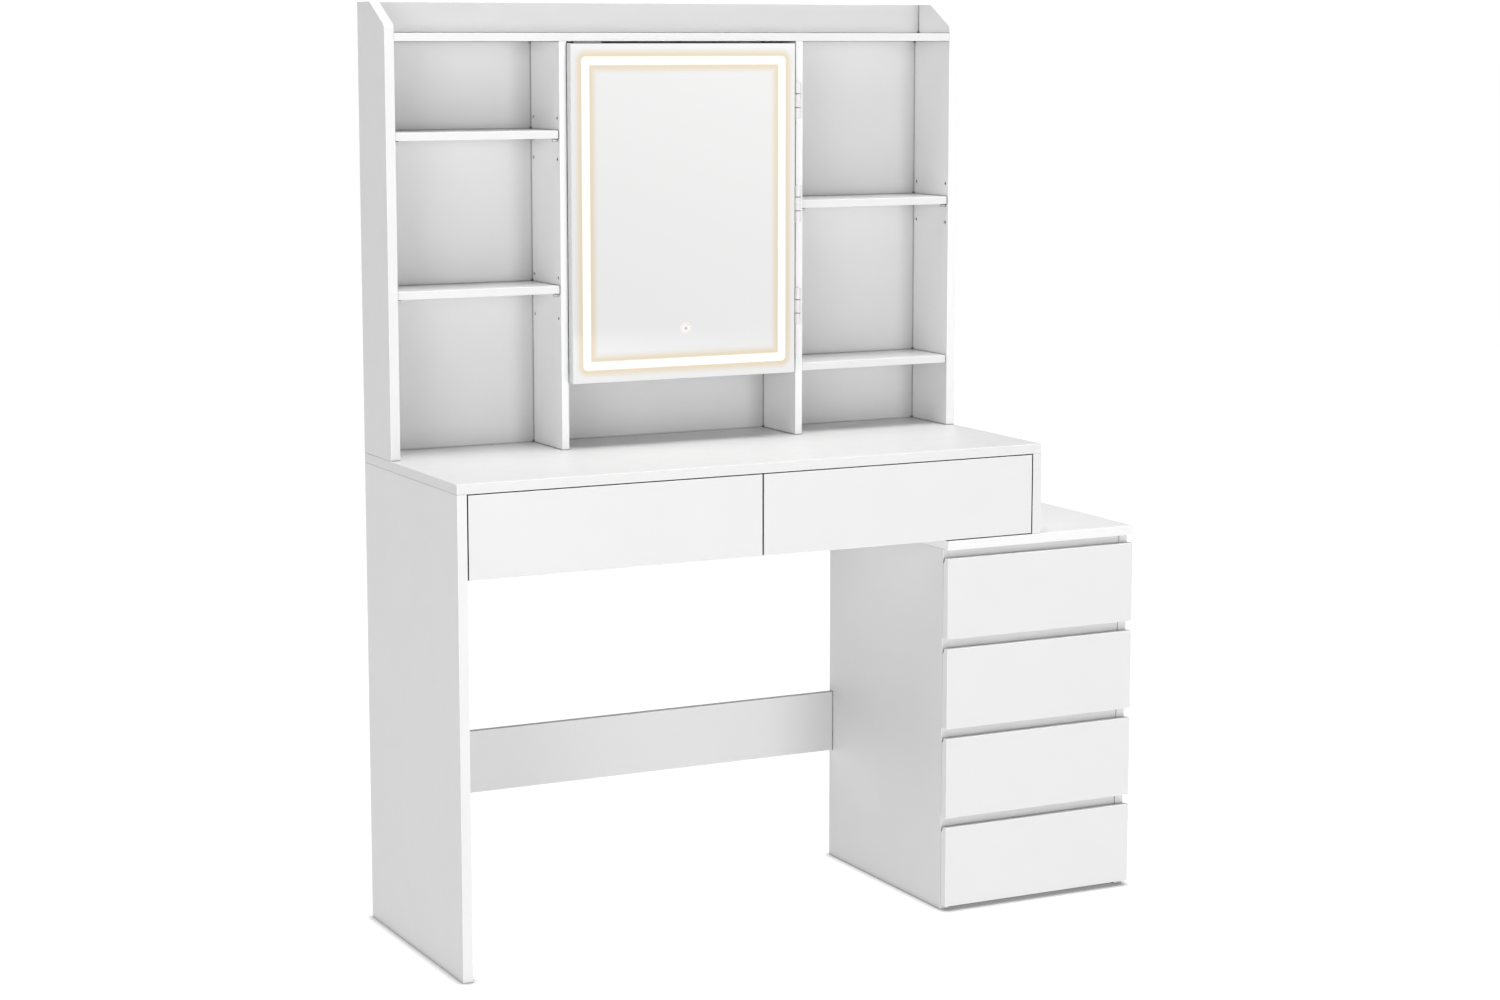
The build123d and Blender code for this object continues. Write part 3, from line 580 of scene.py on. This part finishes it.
def moulded(name, colour, roughness, reach=CREASE_SHADE_REACH, shut=CREASE_SHADE_SHUT, clear=CREASE_SHADE_OPEN):
    """Moulded plastic with a fine eroded skin, scuffed edges and painted shade in its seams."""
    pale = tuple(min(1.0, part * 1.3 + 0.02) for part in colour)
    finish = Finish(name)
    shade = finish.mix(finish.mottle(70.0), scaled(colour, 0.94), colour)
    # Painted shade where the plastic is shut in by nearby surfaces.
    shade = finish.seam(shade, scaled(colour, CREASE_SHADE_TONE), finish.openness(reach), shut, clear)
    shade = finish.mix(finish.times(finish.edge(0.3 * MM, SHARP_EDGE), 0.5), shade, pale)
    rough = finish.mottle(260.0, 2.0, roughness - 0.05, roughness + 0.08)
    skin = finish.bump(finish.noise(2200.0, 1.0), 0.15, 0.08 * MM)
    finish.set(Base_Color=shade, Roughness=rough, Normal=skin)
    return finish.material


def floor_paper():
    """Matt white studio paper, lit evenly, with a thin contact shadow under whatever stands on it."""
    finish = Finish("floor_paper", roughness=0.9)
    contact = finish.remap(finish.openness(CONTACT_REACH), CONTACT_SHUT, CONTACT_OPEN)
    colour = finish.mix(contact, FLOOR_SHADOW, FLOOR_COLOUR)
    glow = finish.remap(contact, 0.0, 1.0, CONTACT_GLOW, FLOOR_GLOW)
    finish.set(Base_Color=colour, Specular_IOR_Level=FLOOR_SHINE)
    finish.set(Emission_Color=(1.0, 1.0, 1.0), Emission_Strength=glow)
    return finish.material


def make_finishes():
    """One material for each material slot of the record."""
    return {
        "white_board": lacquered("white_board", BOARD_WHITE, 0.40, BOARD_GRAIN),
        "back_sheet": lacquered("back_sheet", SHEET_WHITE, 0.52, SHEET_GRAIN),
        "mirror": mirror_silver(),
        "light_band": band_glow(),
        "led_strip": led_tape(),
        "hinge_metal": coated_steel("hinge_metal", HINGE_WHITE, 0.30, 0.3, hinge_middles()),
        "runner_metal": coated_steel("runner_metal", RUNNER_WHITE, 0.42, 0.9),
        "fitting_metal": zinc(),
        "dowel_wood": beech(),
        "white_plastic": moulded("white_plastic", WHITE_PLASTIC, WHITE_PLASTIC_ROUGHNESS),
        "dark_plastic": moulded("dark_plastic", DARK_PLASTIC, 0.42),
    }


# ---------------------------------------------------------------- dressing the CAD nodes
def take_slots():
    """Reads each CAD node's material slot and drops the plain materials that came with the nodes."""
    slots = {name: node.data.materials[0].name for name, node in frame["nodes"].items()}
    for node in frame["nodes"].values():
        node.data.materials.clear()
    for name in set(slots.values()):
        bpy.data.materials.remove(bpy.data.materials[name])
    return slots


def node_finish(name, shared):
    """The finish of one CAD node: the shared one of its slot, unless it has its own painted light and
    shade.
    """
    # Painted light and shade: a lighter or darker white for some boards.
    if name in PAINTED_LIGHT_WHITES:
        reach = OWN_SHADE_REACHES.get(name, CREASE_SHADE_REACH)
        return lacquered(name, PAINTED_LIGHT_WHITES[name], OWN_ROUGHNESS, BOARD_GRAIN, reach)
    # The magnetic catch gets a wider painted shade.
    if name == "magnetic_catch":
        return moulded(name, WHITE_PLASTIC, WHITE_PLASTIC_ROUGHNESS, CATCH_SHADE_REACH, CATCH_SHADE_SHUT, CATCH_SHADE_OPEN)
    return shared


def dress_nodes(slots, finishes):
    """Gives every carried-over CAD node its finish."""
    for name, slot in slots.items():
        frame["nodes"][name].data.materials.append(node_finish(name, finishes[slot]))


# ---------------------------------------------------------------- pieces
def lathe(mesh, profile, place, way, sides):
    """Adds a turned solid; the profile is (radius, height) pairs, height along the way."""
    turn = way.to_track_quat("Z", "X").to_matrix().to_4x4()
    put = Matrix.Translation(place) @ turn
    rings = []
    for radius, height in profile:
        ring = []
        for k in range(sides):
            angle = math.tau * k / sides
            point = Vector((radius * math.cos(angle), radius * math.sin(angle), height))
            ring.append(mesh.verts.new(put @ point))
        rings.append(ring)
    for lower, upper in zip(rings, rings[1:]):
        for k in range(sides):
            after = (k + 1) % sides
            mesh.faces.new((lower[k], lower[after], upper[after], upper[k]))
    mesh.faces.new(rings[0][::-1])
    mesh.faces.new(rings[-1])


def bar(mesh, low, high):
    """Adds a box between two corners."""
    corners = []
    for x in (low.x, high.x):
        for y in (low.y, high.y):
            for z in (low.z, high.z):
                corners.append(mesh.verts.new((x, y, z)))
    for face in ((0, 1, 3, 2), (4, 6, 7, 5), (0, 4, 5, 1), (2, 3, 7, 6), (0, 2, 6, 4), (1, 5, 7, 3)):
        mesh.faces.new([corners[k] for k in face])


def ball(mesh, place):
    """Adds one ball of a slide."""
    bmesh.ops.create_icosphere(mesh, subdivisions=2, radius=BALL_RADIUS, matrix=Matrix.Translation(place))


def screw(mesh, place, way, height):
    """Adds a pan head with a drive recess."""
    profile = [(SCREW_HEAD * radius, height * level) for radius, level in SCREW_PROFILE]
    lathe(mesh, profile, place, way, SCREW_SIDES)


def piece(name, mesh, body, slot, finishes):
    """Turns a bmesh into a shown piece that rides on a body."""
    bmesh.ops.recalc_face_normals(mesh, faces=mesh.faces[:])
    data = bpy.data.meshes.new(name)
    mesh.to_mesh(data)
    mesh.free()
    data.materials.append(finishes[slot])
    obj = add(bpy.data.objects.new(name, data))
    for face in data.polygons:
        face.use_smooth = len(face.vertices) == 4
    data.set_sharp_from_angle(angle=SMOOTH_ANGLE)
    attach(obj, body)


def slide_sides(drawer):
    """Each side of a drawer: carcass face in X, the way inwards, slide height and front end."""
    low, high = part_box(drawer + "_runners")
    middle = (low.z + high.z) / 2
    return ((low.x - SLIDE_START, 1, middle, low.y), (high.x + SLIDE_START, -1, middle, low.y))


def slide_screws(carcass, moving, side, inward, height, front):
    """Adds one slide's screw heads, on the carcass's rail and on the drawer's."""
    way = Vector((inward, 0, 0))
    for place in SCREW_PLACES:
        at = Vector((side + inward * SLIDE_METAL, front + place, height))
        screw(carcass, at, way, CARCASS_SCREW_HEIGHT)
        at = Vector((side + inward * (SLIDE_SPACE - SLIDE_METAL), front + place, height))
        screw(moving, at, -way, DRAWER_SCREW_HEIGHT)


def slide_balls(cages, side, inward, height, front):
    """Adds one slide's two rows of balls, each in its cage."""
    across = side + inward * BALL_STAND
    start = front + BALL_START
    end = start + (BALL_COUNT - 1) * BALL_PITCH
    for sign in (-1, 1):
        level = height + sign * BALL_LIFT
        for k in range(BALL_COUNT):
            ball(cages, Vector((across, start + k * BALL_PITCH, level)))
        low = Vector((across - CAGE_HALF, start - CAGE_MARGIN, level - CAGE_THICK / 2))
        high = Vector((across + CAGE_HALF, end + CAGE_MARGIN, level + CAGE_THICK / 2))
        bar(cages, low, high)


def slide_details(finishes):
    """Screw heads and ball cages of the drawer slides."""
    carcass = bmesh.new()
    cages = bmesh.new()
    for drawer in [name for name in frame["bodies"] if "drawer" in name]:
        moving = bmesh.new()
        for side in slide_sides(drawer):
            slide_screws(carcass, moving, *side)
            slide_balls(cages, *side)
        piece(drawer + "_slide_screws", moving, drawer, "fitting_metal", finishes)
    piece("carcass_slide_screws", carcass, "carcass", "fitting_metal", finishes)
    piece("ball_cages", cages, "carcass", "fitting_metal", finishes)


# ---------------------------------------------------------------- the scene
slots = take_slots()
make_camera()
make_floor()
make_sky()
for lamp in LAMPS:
    make_lamp(*lamp)
bpy.context.scene.view_settings.view_transform = "Standard"
finishes = make_finishes()
dress_nodes(slots, finishes)
slide_details(finishes)
